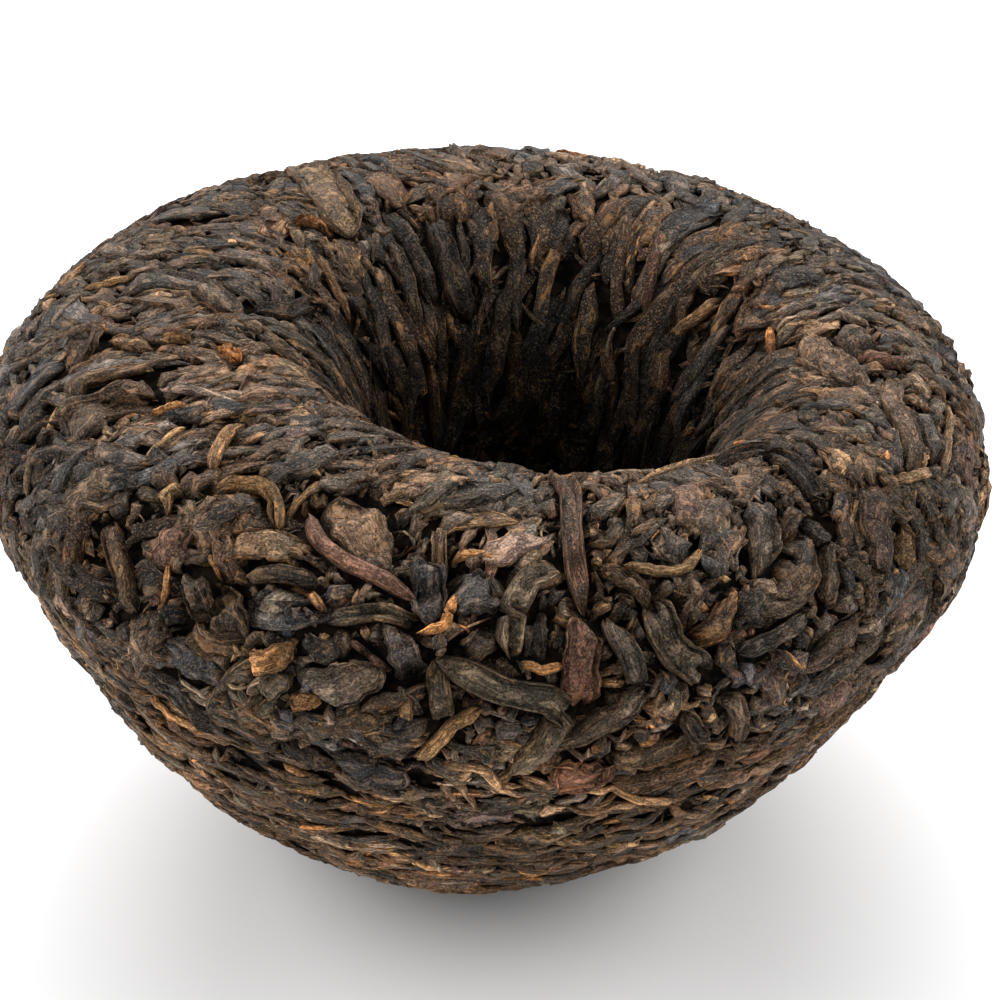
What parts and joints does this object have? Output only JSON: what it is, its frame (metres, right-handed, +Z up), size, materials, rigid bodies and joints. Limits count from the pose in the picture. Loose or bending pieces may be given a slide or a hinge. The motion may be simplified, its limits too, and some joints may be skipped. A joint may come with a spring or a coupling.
{
  "type": "pressed tea cake",
  "caption": "Pressed bowl-shaped cake of ripe tea leaves, with a deep round hollow in its top and a domed underside.",
  "frame": {"origin": "centre of the flat spot that the cake stands on", "axes": "+Z up out of the hollow, -Y towards the viewer of the picture, +X to the right, the way the cake leans"},
  "size_m": [0.0794, 0.0821, 0.0469],
  "materials": {
    "tea_leaf": "dry pressed tea leaf, dark brown to black with tan and orange tips, matte"
  },
  "bodies": {
    "root": {"tea_cake": "tea_leaf"}
  },
  "joints": []
}
